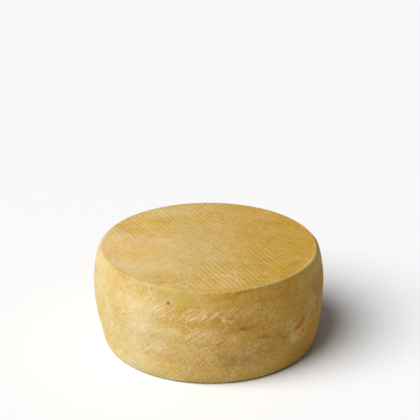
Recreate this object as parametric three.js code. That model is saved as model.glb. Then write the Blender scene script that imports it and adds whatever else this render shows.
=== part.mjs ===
// A semi-cured sheep cheese: one whole pressed wheel standing on its flat base.
// Millimetres, +Z up, the origin at base level under the middle of the fullest part, and -Y
// towards the viewer.
// The side carries the print of the plaited band that it was pressed in: rows of strands that
// lean one way and then the other. Both faces carry the print of the ribbed pressing boards.
import * as THREE from 'three';

// Barrel
const HEIGHT = 92.4;
const MAX_RADIUS = 105;
const FULLEST_HEIGHT = 0.58 * HEIGHT;
const TOP_TAPER = 6;
const BASE_TAPER = 7.5;
const TAPER_POWER = 1.75;
const BASE_EDGE_RADIUS = 5;
const BASE_EDGE_STEPS = 3;

// The top was pressed slightly oval and a little off the middle of the base
const TOP_OVAL = 0.011;
const TOP_LEAN = 1.3;

// Rim round the top face, with a notch over every strand
const LIP_WIDTH = 2.6;
const LIP_CREST_INSET = 0.8;
const LIP_RISE = 0.35;
const LIP_OUTER_DROP = 0.9;
const LIP_NOTCH = 0.45;

// Smooth band under the rim, its upper part brushed by the strand ends
const BAND_HEIGHT = 14;
const BAND_BRUSHED_HEIGHT = 5;
const BAND_WAIST = 0.45;
const BAND_STEP = 1.6;
const BRUSHED_SLANT = degrees(24);

// Plaited print under the band: tall strong rows lean right as they rise, low weak rows lean left
const STRANDS = 66;
const ROW_PERIOD = 21.4;
const STRONG_ROW_HEIGHT = 13.4;
const STRONG_SLANT = degrees(39);
const WEAK_SLANT = degrees(-50);
const STRAND_DEPTH = 0.8;
const ROW_SINK = 0.6;
const FULL_FROM = 0.22;
const FULL_TO = 0.76;
const SEAM_START = degrees(-19.4);

// Ribbed print of the two faces: in each quarter the ribs run at one angle from the main seam
const GROOVE_PITCH = 4.6;
const GROOVE_DEPTH = 0.55;
const BASE_LAND_WIDTH = 2.6;
const FACE_MARGIN = 1.5;
const MAIN_SEAM = degrees(259);
const RIBS_FROM_MAIN_SEAM = degrees(38);
const QUARTERS = 4;
const QUARTER_TURN = degrees(90);

const RIND_COLOUR = 0xd2b064;
const RIND_ROUGHNESS = 0.62;

// A strand across its width: the seam, then its crown and the shoulder that dips to the next seam
const STRAND_SECTION = [0, 1, 0.82];
const COLUMNS = STRANDS * STRAND_SECTION.length;
const FRONT = degrees(-90);
const FULL_TURN = 2 * Math.PI;

function degrees(angle) {
  return (angle * Math.PI) / 180;
}

/** Radius of the barrel at a height, with the rounded edge where it meets the base. */
function barrelRadius(height) {
  const above = height > FULLEST_HEIGHT;
  const span = above ? HEIGHT - FULLEST_HEIGHT : FULLEST_HEIGHT;
  const taper = above ? TOP_TAPER : BASE_TAPER;
  const share = Math.abs(height - FULLEST_HEIGHT) / span;
  const radius = MAX_RADIUS - taper * share ** TAPER_POWER;
  if (height >= BASE_EDGE_RADIUS) {
    return radius;
  }
  const drop = 1 - height / BASE_EDGE_RADIUS;
  return radius - BASE_EDGE_RADIUS * (1 - Math.sqrt(1 - drop * drop));
}

/** How far round the wheel a slanted strand goes over a difference in height. */
function turnOver(climb, slant) {
  return climb / Math.tan(slant) / MAX_RADIUS;
}

/** How far round the strands have gone at a distance down from the top face. */
function turnAt(down) {
  if (down < BAND_HEIGHT) {
    return SEAM_START + turnOver(Math.max(0, BAND_BRUSHED_HEIGHT - down), BRUSHED_SLANT);
  }
  const rows = Math.floor((down - BAND_HEIGHT) / ROW_PERIOD);
  const rest = down - BAND_HEIGHT - rows * ROW_PERIOD;
  const strong = rows * STRONG_ROW_HEIGHT + Math.min(rest, STRONG_ROW_HEIGHT);
  const weak = down - BAND_HEIGHT - strong;
  return SEAM_START - turnOver(strong, STRONG_SLANT) - turnOver(weak, WEAK_SLANT);
}

/** The closed skin of the wheel, built as shared vertices and outward triangles. */
class Skin {
  constructor() {
    this.positions = [];
    this.triangles = [];
  }

  /** Adds a vertex, moved as the oval, leaning top moves it. */
  vertex(x, y, z) {
    const stretch = (TOP_OVAL * z) / HEIGHT;
    const lean = (TOP_LEAN * (z - FULLEST_HEIGHT)) / HEIGHT;
    this.positions.push(x * (1 + stretch) - lean, y * (1 - stretch), z);
    return this.positions.length / 3 - 1;
  }

  /** Adds a vertex given by its angle and its distance from the axis. */
  polar(angle, radius, height) {
    return this.vertex(radius * Math.cos(angle), radius * Math.sin(angle), height);
  }

  /** Length of the line between two vertices. */
  span(a, b) {
    const first = new THREE.Vector3().fromArray(this.positions, a * 3);
    const second = new THREE.Vector3().fromArray(this.positions, b * 3);
    return first.distanceTo(second);
  }

  /** Adds a triangle given anticlockwise as seen from outside, or turned over where told. */
  triangle(a, b, c, turnedOver = false) {
    if (turnedOver) {
      this.triangles.push(a, c, b);
    } else {
      this.triangles.push(a, b, c);
    }
  }

  /** Fills four corners, cut along the shorter diagonal. */
  quad(a, b, c, d) {
    if (this.span(a, c) <= this.span(b, d)) {
      this.triangle(a, b, c);
      this.triangle(a, c, d);
    } else {
      this.triangle(a, b, d);
      this.triangle(b, c, d);
    }
  }

  /**
   * Adds one level of strand columns. The crowns stay at the level's radius and height, and the
   * seams sink by seamDepth towards the axis and by seamDrop downwards.
   */
  ring({ height, radius, turn, seamDepth = 0, seamDrop = 0 }) {
    return Array.from({ length: COLUMNS }, (_, column) => {
      const angle = FRONT + turn + (FULL_TURN * column) / COLUMNS;
      const sunk = 1 - STRAND_SECTION[column % STRAND_SECTION.length];
      const index = this.polar(angle, radius - seamDepth * sunk, height - seamDrop * sunk);
      return { index, angle };
    });
  }

  /** Joins two levels of strand columns, one above the other. */
  band(lower, upper) {
    for (let column = 0; column < COLUMNS; column += 1) {
      const next = (column + 1) % COLUMNS;
      this.quad(lower[column].index, lower[next].index, upper[next].index, upper[column].index);
    }
  }

  /** Joins a ring to one of another count inside it, each time to the corner that comes next. */
  stitch(outer, inner, facesUp) {
    const rim = inTurn(outer);
    const core = inTurn(inner);
    let i = 0;
    let j = 0;
    while (i < rim.length - 1 || j < core.length - 1) {
      const rimNext = i < rim.length - 1 ? rim[i + 1].angle : Infinity;
      const coreNext = j < core.length - 1 ? core[j + 1].angle : Infinity;
      const alongRim = rimNext <= coreNext;
      const third = alongRim ? rim[i + 1].index : core[j + 1].index;
      this.triangle(rim[i].index, third, core[j].index, !facesUp);
      i += alongRim ? 1 : 0;
      j += alongRim ? 0 : 1;
    }
  }

  geometry() {
    const geometry = new THREE.BufferGeometry();
    geometry.setAttribute('position', new THREE.Float32BufferAttribute(this.positions, 3));
    geometry.setIndex(this.triangles);
    geometry.computeVertexNormals();
    return geometry;
  }
}

/** Corners in the order of their angles, with the first one again a full turn on. */
function inTurn(corners) {
  const sorted = corners.map(({ index, angle }) => ({
    index,
    angle: THREE.MathUtils.euclideanModulo(angle, FULL_TURN),
  }));
  sorted.sort((a, b) => a.angle - b.angle);
  sorted.push({ index: sorted[0].index, angle: sorted[0].angle + FULL_TURN });
  return sorted;
}

/** Lines of the top print, by their distance from the face's middle: ridge, groove, ridge, and so on. */
function topLines(reach) {
  const lines = [];
  for (let step = 0; (step * GROOVE_PITCH) / 2 < reach; step += 1) {
    lines.push({ offset: (step * GROOVE_PITCH) / 2, depth: step % 2 ? GROOVE_DEPTH : 0 });
  }
  return lines;
}

/** Lines of the base print, where the wheel's weight has pressed the ridges into flat lands. */
function baseLines(reach) {
  const lines = [{ offset: 0, depth: 0 }];
  for (let ridge = 0; ridge < reach; ridge += GROOVE_PITCH) {
    lines.push({ offset: ridge + BASE_LAND_WIDTH / 2, depth: 0 });
    lines.push({ offset: ridge + GROOVE_PITCH / 2, depth: GROOVE_DEPTH });
    lines.push({ offset: ridge + GROOVE_PITCH - BASE_LAND_WIDTH / 2, depth: 0 });
  }
  return lines.filter(({ offset }) => offset < reach);
}

/**
 * A round face of four quarters. The ribs of two neighbours meet their common seam at the same
 * angle, so they join there as chevrons. Returns the corners round the face's rim.
 */
function ribbedFace(skin, { height, radius, makeLines, facesUp }) {
  const levelOf = ({ depth }) => height + (facesUp ? -depth : depth);
  const centre = skin.vertex(0, 0, height);
  const rim = [];
  const rimCorner = (angle, level) => {
    const index = skin.polar(angle, radius, level);
    rim.push({ index, angle });
    return index;
  };
  const seams = Array.from({ length: QUARTERS }, (_, quarter) => {
    const angle = MAIN_SEAM + quarter * QUARTER_TURN;
    const opening = quarter % 2 ? QUARTER_TURN - RIBS_FROM_MAIN_SEAM : RIBS_FROM_MAIN_SEAM;
    const lines = makeLines(radius * Math.sin(opening));
    const corners = lines.map((line, step) => {
      const distance = line.offset / Math.sin(opening);
      return step === 0 ? centre : skin.polar(angle, distance, levelOf(line));
    });
    return { angle, opening, lines, corners, end: rimCorner(angle, height) };
  });
  for (let quarter = 0; quarter < QUARTERS; quarter += 1) {
    const ribs = seams[quarter].angle + seams[quarter].opening;
    const ribEnd = rimCorner(ribs, height);
    for (const side of [-1, 1]) {
      const { lines, corners, end: seamEnd } = seams[(quarter + (side > 0 ? 1 : 0)) % QUARTERS];
      const turnedOver = facesUp === side < 0;
      const last = lines.length - 1;
      let end = ribEnd;
      for (let step = 0; step < last; step += 1) {
        const next = lines[step + 1];
        const nextEnd = rimCorner(ribs + side * Math.asin(next.offset / radius), levelOf(next));
        skin.triangle(corners[step], end, nextEnd, turnedOver);
        skin.triangle(corners[step], nextEnd, corners[step + 1], turnedOver);
        end = nextEnd;
      }
      skin.triangle(corners[last], end, seamEnd, turnedOver);
    }
  }
  return rim;
}

/** Levels of the rounded edge, from the base up to where the plait starts. */
function baseEdgeLevels() {
  return Array.from({ length: BASE_EDGE_STEPS }, (_, step) => {
    const tilt = degrees(90 * (1 - step / BASE_EDGE_STEPS));
    const height = BASE_EDGE_RADIUS * (1 - Math.sin(tilt));
    const seamDepth = (STRAND_DEPTH / 2) * Math.cos(tilt);
    return { height, radius: barrelRadius(height), turn: turnAt(HEIGHT - height), seamDepth };
  });
}

/** Levels of the plait, from the base edge up. Strong rows are full, the seams between rows low. */
function plaitLevels() {
  const lowest = HEIGHT - BASE_EDGE_RADIUS;
  const levels = [];
  const add = (down, full) => {
    const height = HEIGHT - down;
    const radius = barrelRadius(height) - (full ? 0 : ROW_SINK);
    const seamDepth = full ? STRAND_DEPTH : STRAND_DEPTH / 2;
    levels.unshift({ height, radius, turn: turnAt(down), seamDepth });
  };
  for (let start = BAND_HEIGHT; start < lowest; start += ROW_PERIOD) {
    const length = Math.min(STRONG_ROW_HEIGHT, lowest - start);
    add(start, false);
    add(start + length * FULL_FROM, true);
    add(start + length * FULL_TO, true);
    add(start + length, false);
  }
  return levels;
}

/** Levels of the band, from the step over the plait up to the outer edge of the lip. */
function bandLevels() {
  const edges = [
    { down: BAND_HEIGHT - BAND_STEP, inset: 0, seamDepth: 0 },
    { down: BAND_BRUSHED_HEIGHT, inset: BAND_WAIST, seamDepth: BAND_WAIST / 2 },
    { down: LIP_OUTER_DROP, inset: 0, seamDepth: LIP_NOTCH },
  ];
  return edges.map(({ down, inset, seamDepth }) => {
    const height = HEIGHT - down;
    return { height, radius: barrelRadius(height) - inset, turn: turnAt(down), seamDepth };
  });
}

/** Levels of the lip, from its crest in to its foot on the top face. */
function lipLevels() {
  const turn = turnAt(LIP_OUTER_DROP);
  const outer = barrelRadius(HEIGHT);
  const seamDrop = LIP_NOTCH / 2;
  return [
    { height: HEIGHT, radius: outer - LIP_CREST_INSET, turn, seamDrop },
    { height: HEIGHT - LIP_RISE, radius: outer - LIP_WIDTH, turn, seamDrop },
  ];
}

function cheeseWheel() {
  const skin = new Skin();
  const levels = [...baseEdgeLevels(), ...plaitLevels(), ...bandLevels(), ...lipLevels()];
  const rings = levels.map((level) => skin.ring(level));
  for (let level = 1; level < rings.length; level += 1) {
    skin.band(rings[level - 1], rings[level]);
  }
  const baseRim = ribbedFace(skin, {
    height: 0,
    radius: barrelRadius(0) - FACE_MARGIN,
    makeLines: baseLines,
    facesUp: false,
  });
  const topRim = ribbedFace(skin, {
    height: HEIGHT - LIP_RISE,
    radius: barrelRadius(HEIGHT) - LIP_WIDTH - FACE_MARGIN,
    makeLines: topLines,
    facesUp: true,
  });
  skin.stitch(rings[0], baseRim, false);
  skin.stitch(rings[rings.length - 1], topRim, true);

  const rind = new THREE.MeshStandardMaterial({
    color: RIND_COLOUR,
    roughness: RIND_ROUGHNESS,
    metalness: 0,
  });
  const mesh = new THREE.Mesh(skin.geometry(), rind);
  mesh.name = 'cheese_wheel';
  return mesh;
}

const model = new THREE.Group();
model.add(cheeseWheel());

export default model;
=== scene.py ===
"""The rind of a semi-cured sheep cheese, modelled and dressed over the wheel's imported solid.

Metres, +Z up, the origin at base level under the middle of the fullest part, and -Y towards the
viewer. The sizes in millimetres are those of the part's source; the fine relief is added here.
Places on the side are distances round the wheel from the front, rightwards, and down from the top.
"""

from __future__ import annotations

import logging
import math
from dataclasses import dataclass, field, replace
from enum import Enum
from typing import Callable

import bmesh
import bpy
import numpy as np
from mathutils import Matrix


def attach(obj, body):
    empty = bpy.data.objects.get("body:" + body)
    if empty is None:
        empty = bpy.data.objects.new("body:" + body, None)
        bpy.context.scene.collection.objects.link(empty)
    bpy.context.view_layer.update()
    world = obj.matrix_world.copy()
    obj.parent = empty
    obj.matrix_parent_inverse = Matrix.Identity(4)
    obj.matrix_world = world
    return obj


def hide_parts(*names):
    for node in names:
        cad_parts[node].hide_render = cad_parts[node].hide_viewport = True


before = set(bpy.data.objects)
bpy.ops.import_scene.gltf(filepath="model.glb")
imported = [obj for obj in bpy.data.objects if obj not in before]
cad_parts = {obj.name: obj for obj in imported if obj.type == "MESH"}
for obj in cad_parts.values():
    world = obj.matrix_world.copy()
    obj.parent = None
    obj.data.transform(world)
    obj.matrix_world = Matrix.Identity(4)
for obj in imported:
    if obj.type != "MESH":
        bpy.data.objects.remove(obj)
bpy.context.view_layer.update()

log = logging.getLogger("sheep_cheese")

Socket = bpy.types.NodeSocket

MM = 0.001
FULL_TURN = 2 * math.pi
FRONT = -math.pi / 2
NODE = "cheese_wheel"
SMOOTH = {"interpolation_type": "SMOOTHSTEP"}


class Face(Enum):
    """The two flat faces, by the way they look."""

    TOP = 1
    BASE = -1


class Zone(Enum):
    """Parts of the side, by how the plaited band printed them."""

    EDGE = "rounded base edge"
    STRONG = "strong row"
    WEAK = "weak row"
    BAND = "smooth band"
    LIP = "lip"


class Mark(Enum):
    """Bloom and stains that ripening left, and some painted highlights and shade, by their attribute."""

    BLOOM = "bloom"
    BUTTER = "butter"
    AMBER = "amber"
    UMBER = "umber"
    BLUSH = "blush"
    OLIVE = "olive"
    HONEY = "honey"


class Cover(Enum):
    """How a layer of colour covers what is under it: a see-through stain or an opaque coat."""

    STAIN = "MULTIPLY"
    COAT = "MIX"


def deselect_all() -> None:
    """Leaves object mode with nothing selected."""
    if bpy.context.object is not None and bpy.context.object.mode != "OBJECT":
        bpy.ops.object.mode_set(mode="OBJECT")
    bpy.ops.object.select_all(action="DESELECT")


def activate(piece: bpy.types.Object) -> None:
    """Selects one piece alone and makes it the active one.

    Args:
        piece: the piece to work on.
    """
    deselect_all()
    piece.select_set(True)
    bpy.context.view_layer.objects.active = piece


def sheet_of_cells(name: str, across: int, along: int) -> bpy.types.Object:
    """Adds a flat grid primitive, ready to be moved into shape.

    Args:
        name: name of the new piece.
        across: cells in the first direction.
        along: cells in the second direction.

    Returns:
        The grid, whose vertices run fastest in the first direction.
    """
    deselect_all()
    bpy.ops.mesh.primitive_grid_add(x_subdivisions=across, y_subdivisions=along, size=1.0)
    piece = bpy.context.object
    piece.name = name
    return piece


def move_to(piece: bpy.types.Object, points: np.ndarray) -> None:
    """Moves every vertex of a piece to its row of new places, in metres."""
    piece.data.vertices.foreach_set("co", points.astype(np.float32).ravel())
    piece.data.update()


def keep_attributes(piece: bpy.types.Object, **values: np.ndarray) -> None:
    """Stores numbers per vertex for the material to read.

    Args:
        piece: a mesh piece.
        **values: the numbers of each attribute, under its name.
    """
    for name, numbers in values.items():
        layer = piece.data.attributes.new(name, "FLOAT", "POINT")
        layer.data.foreach_set("value", numbers.astype(np.float32))


def keep_lay(piece: bpy.types.Object, across: np.ndarray, along: np.ndarray) -> None:
    """Stores a map that follows the fibres of the print.

    Args:
        piece: a mesh piece.
        across: place of each vertex across the fibres, in metres.
        along: place of each vertex along them, in metres.
    """
    while piece.data.uv_layers:
        piece.data.uv_layers.remove(piece.data.uv_layers[0])
    layer = piece.data.uv_layers.new(name="lay")
    corners = np.empty(len(piece.data.loops), dtype=np.int64)
    piece.data.loops.foreach_get("vertex_index", corners)
    layer.data.foreach_set("uv", np.stack([across, along], 1)[corners].astype(np.float32).ravel())


def smooth_step(values: np.ndarray, none: float, whole: float) -> np.ndarray:
    """Rises smoothly from 0 to 1 as the values go from one limit to the other, either way."""
    share = np.clip((values - none) / (whole - none), 0.0, 1.0)
    return share * share * (3 - 2 * share)


def near(values: np.ndarray, middle: float, reach: float, power: int = 2) -> np.ndarray:
    """Falls from 1 at a middle to about 0 past a reach, more squarely with a higher power."""
    return np.exp(-(((values - middle) / reach) ** power))


def each(kind: type, *rows: tuple[float, ...]) -> tuple:
    """Makes one thing of a kind from each row of its sizes."""
    return tuple(kind(*row) for row in rows)


@dataclass(frozen=True)
class Wander:
    """Smooth seeded unevenness in space: its usual length in millimetres and its usual size."""

    seed: int
    length: float
    size: float = 1.0
    waves: int = 18
    count_range: tuple[float, float] = (0.6, 1.5)

    def at(self, points: np.ndarray) -> np.ndarray:
        """Reads the unevenness at some places.

        Args:
            points: rows of x, y and z in millimetres.

        Returns:
            One number for each place, with a middle of 0.
        """
        draw = np.random.default_rng(self.seed)
        directions = draw.normal(size=(self.waves, 3))
        directions /= np.linalg.norm(directions, axis=1, keepdims=True)
        counts = FULL_TURN / self.length * draw.uniform(*self.count_range, self.waves)
        phases = draw.uniform(0.0, FULL_TURN, self.waves)
        total = np.zeros(len(points))
        for direction, count, phase in zip(directions, counts, phases):
            total += np.sin(points @ direction * count + phase)
        return total * self.size / math.sqrt(self.waves / 2)


@dataclass(frozen=True)
class Barrel:
    """The wheel's main form, in millimetres: a barrel pressed slightly oval at its top."""

    height: float = 92.4
    max_radius: float = 105.0
    fullest_share: float = 0.58
    top_taper: float = 6.0
    base_taper: float = 7.5
    taper_power: float = 1.75
    base_edge: float = 5.0
    top_oval: float = 0.011
    top_lean: float = 1.3

    def radius(self, height: float) -> float:
        """Radius of the side at a height.

        Args:
            height: height over the base.

        Returns:
            The radius, with the rounded edge where the side meets the base.
        """
        fullest = self.fullest_share * self.height
        above = height > fullest
        span = self.height - fullest if above else fullest
        taper = self.top_taper if above else self.base_taper
        radius = self.max_radius - taper * (abs(height - fullest) / span) ** self.taper_power
        if height >= self.base_edge:
            return radius
        drop = 1 - height / self.base_edge
        return radius - self.base_edge * (1 - math.sqrt(max(0.0, 1 - drop * drop)))

    def pressed(self, points: np.ndarray) -> np.ndarray:
        """Moves places on a round wheel to where the oval, leaning top has them.

        Args:
            points: rows of x, y and z in millimetres.

        Returns:
            The moved places, in metres.
        """
        stretch = self.top_oval * points[:, 2] / self.height
        lean = self.top_lean * (points[:, 2] / self.height - self.fullest_share)
        x = points[:, 0] * (1 + stretch) - lean
        y = points[:, 1] * (1 - stretch)
        return np.stack([x, y, points[:, 2]], 1) * MM


@dataclass(frozen=True)
class Patch:
    """A soft oval patch: its middle and half sizes in millimetres, its strength and its slant."""

    across: float
    down: float
    half_width: float
    half_height: float
    strength: float
    slant: float = 0.0

    def fade(self, across: np.ndarray, down: np.ndarray) -> np.ndarray:
        """Works out how strong the patch is at some places.

        Args:
            across: first coordinate in millimetres.
            down: second coordinate in millimetres.

        Returns:
            The strength at each place.
        """
        turn = math.radians(self.slant)
        right, below = across - self.across, down - self.down
        along = (right * math.cos(turn) - below * math.sin(turn)) / self.half_width
        aside = (right * math.sin(turn) + below * math.cos(turn)) / self.half_height
        return self.strength * np.exp(-(along**2) - aside**2)


def coverage(patches: tuple[Patch, ...], across: np.ndarray, down: np.ndarray) -> np.ndarray:
    """Adds up the strengths of patches at places given in millimetres."""
    return sum((patch.fade(across, down) for patch in patches), np.zeros(len(across)))


@dataclass(frozen=True)
class Spread:
    """Where one mark has spread: patches on the side, and on the top with y in the place of down."""

    mark: Mark
    side: tuple[Patch, ...]
    top: tuple[Patch, ...] = ()


@dataclass(frozen=True)
class Ripening:
    """What ripening left, and painted light: wide soft patches, narrow ones for scratches and painted
    highlights.
    """

    spreads: tuple[Spread, ...] = (
        Spread(
            Mark.BLOOM,
            side=each(
                Patch, (-83, 25, 12, 12, 0.55), (-48, 22, 26, 9, 0.45), (-68, 7, 32, 6, -1.0),
                (-8, 22, 24, 7, 0.38), (-52, 40, 24, 8, 0.6), (2, 40, 22, 7, 0.6), (-52, 62, 22, 8, 0.55),
                (28, 20, 22, 7, 0.35), (76, 44, 11, 8, 0.7), (99, 48, 12, 9, 0.45), (88, 60, 14, 8, 0.9),
                (112, 30, 13, 13, 0.75), (98, 8, 22, 6, 0.3), (30, 62, 22, 9, 0.8), (-42, 50, 7, 5, 0.8),
                (-44, 59, 9, 9, 0.5), (-30, 36, 7, 5, 0.6), (0, 60, 9, 16, 0.6), (18, 46, 10, 5, 0.6),
                # Narrow slanted strokes on the strands' lower ends: painted highlights.
                (-18.5, 23.2, 4.0, 1.1, 1.6, 40), (-10.0, 24.2, 4.4, 1.1, 1.7, 33),
                (4.0, 21.4, 7.0, 0.9, 1.6, 37), (10.5, 23.8, 3.0, 0.9, 1.3, 35),
                (15.5, 27.6, 3.2, 0.9, 1.4, -32),
            ),
            top=each(
                Patch, (-62, -18, 38, 44, 0.8), (-90, -22, 24, 60, 0.8), (-40, -55, 22, 12, 0.6),
                # Next row, after its first patch: a pale line on the seam and short strokes on the ribs,
                # painted highlights.
                (22, -60, 14, 9, 0.4), (-17, -68, 28, 0.7, 0.8, -82.6), (-16, -84, 7, 0.7, 1.0, 55),
                (8.2, -66, 3.4, 0.9, 1.5, 75), (12.8, -67, 4.0, 0.9, 1.5, 66),
                (17.5, -68, 4.4, 0.9, 1.5, 60), (22.7, -62, 3.2, 0.9, 1.4, 80),
                (24.7, -76, 5.0, 0.9, 1.4, 66), (33.5, -41, 4.4, 1.1, 1.2, 62),
                (49.0, -62, 2.2, 1.0, 1.5, 64),
            ),
        ),
        Spread(
            Mark.BUTTER,
            side=each(
                Patch, (-65, 9, 6, 3, 0.8), (-20, 10.6, 8, 2.6, 1.0), (-27, 17, 9, 5, 0.6),
                (70, 30, 7, 6, 0.8), (88, 19, 4, 6, 1.0), (88, 11, 5, 3, 0.7), (52, 62, 7, 5, 0.7),
                (26, 43, 5, 5, 0.7), (-30, 64, 6, 4, 0.6), (-4, 73, 7, 4, 0.7),
            ),
            top=each(
                Patch, (6, -85, 4, 3, 1.0), (-4, -58, 6, 5, 0.6), (51, -69, 6, 4, 1.0), (63, -53, 7, 5, 1.0),
            ),
        ),
        Spread(
            Mark.AMBER,
            side=each(
                # The first patch is a dark line along the band's sunken waist: painted shade.
                Patch, (17, 7.6, 20, 2.6, 1.3), (50, 12.5, 24, 2.2, 0.8), (76, 9, 10, 5, 0.7),
                (-10, 30, 26, 4, 0.6), (26, 36, 18, 6, 0.5), (-12, 50, 24, 4, 0.5), (20, 55, 10, 4, 0.5),
                (58, 60, 10, 5, 0.5), (94, 34, 2, 4, 0.8),
            ),
            top=each(Patch, (76, -41, 6, 5, 0.8), (-35, -80, 18, 3, 0.8), (-74, 34, 16, 26, 0.7)),
        ),
        Spread(
            Mark.UMBER,
            side=each(
                Patch, (-62, 5, 26, 7, 0.5), (-100, 1.5, 52, 1.9, 0.5), (22, 65, 22, 9, 0.8),
                (24, 74, 16, 5, 0.4), (46, 36, 18, 5, 0.55), (48, 64, 14, 9, 0.5), (70, 52, 14, 7, 0.8),
                (50, 47.5, 7, 3, 0.9), (29, 36, 6, 2.2, 0.9), (119, 24, 8, 10, 0.6), (126, 45, 12, 20, 0.4),
            ),
        ),
        Spread(
            Mark.BLUSH,
            side=each(
                Patch, (-37, 20, 4, 1.6, 0.9), (-50, 41, 5, 2.4, 1.0), (-62, 66, 4, 2.4, 0.9),
                (-38, 29, 5, 1.6, 0.5),
            ),
            top=each(Patch, (-80, -20, 44, 60, 0.5)),
        ),
        Spread(
            Mark.OLIVE,
            side=each(
                Patch, (-20, 4, 34, 6, 1.0), (30, 89, 70, 9, 1.0), (-60, 88, 34, 7, 0.7),
                (96, 78, 22, 16, 0.9), (72, 34, 12, 8, 0.7), (-96, 1.0, 40, 3.0, 0.4),
            ),
        ),
        Spread(
            Mark.HONEY,
            side=each(
                Patch, (-72, 3, 30, 5, 0.25), (22, 3, 18, 5, 0.9), (-70, 28, 14, 10, 0.4),
                (64, 82, 22, 8, 0.35), (2, 41, 22, 8, 0.25), (100, 4, 40, 5, 0.8), (-100, 0.2, 52, 1.9, 0.5),
                (98, 9, 20, 6, 0.6),
            ),
            top=each(Patch, (-76, -20, 44, 60, 0.9), (-20, -66, 34, 22, 0.7), (-50, 50, 44, 34, 0.8)),
        ),
    )


@dataclass(frozen=True)
class Level:
    """One height of the side's mesh, in millimetres, and how far down its zone it is."""

    down: float
    radius: float
    zone: Zone
    share: float
    drop: float = 0.0


@dataclass(frozen=True)
class Spots:
    """Where the side's vertices are: one entry of each array for every vertex, in millimetres."""

    levels: list[Level]
    level_index: np.ndarray
    strand: np.ndarray
    angle: np.ndarray
    radius: np.ndarray
    down: np.ndarray
    height: np.ndarray
    points: np.ndarray
    reach: float
    unseen_to_seen: tuple[float, float] = (190.0, 110.0)

    @property
    def arc(self) -> np.ndarray:
        """Distance round the wheel from the front, rightwards."""
        return self.reach * ((self.angle - FRONT + math.pi) % FULL_TURN - math.pi)

    @property
    def shown(self) -> np.ndarray:
        """How far the look that was seen holds: 1 at the front and the sides, 0 at the back."""
        return smooth_step(np.abs(self.arc), *self.unseen_to_seen)

    def per_level(self, read: Callable[[Level], object]) -> np.ndarray:
        """Reads every level and spreads what is found over the level's vertices."""
        return np.array([read(level) for level in self.levels], dtype=float)[self.level_index]

    def within(self, *zones: Zone) -> np.ndarray:
        """Gives 1 to the vertices in some zones and 0 to the rest."""
        return self.per_level(lambda level: level.zone in zones)


@dataclass(frozen=True)
class Shift:
    """A change of a value over the side.

    Each pair of distances, in millimetres, says where it grows from none to its whole amount.
    """

    amount: float
    across: tuple[float, ...] = ()
    down: tuple[float, ...] = ()

    def at(self, spots: Spots) -> np.ndarray:
        """Works out the change at each place.

        Args:
            spots: the side's places.

        Returns:
            The change.
        """
        change = np.full(len(spots.down), self.amount)
        for values, limits in ((spots.arc, self.across), (spots.down, self.down)):
            for none, whole in zip(limits[::2], limits[1::2]):
                change *= smooth_step(values, none, whole)
        return change


@dataclass(frozen=True)
class Print:
    """How the plaited band printed each vertex of the side, as shares of a full print."""

    stroke: np.ndarray
    tone: np.ndarray
    crown: np.ndarray
    crisp: np.ndarray
    full: np.ndarray
    strand: np.ndarray
    rib: np.ndarray
    worn: np.ndarray


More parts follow.
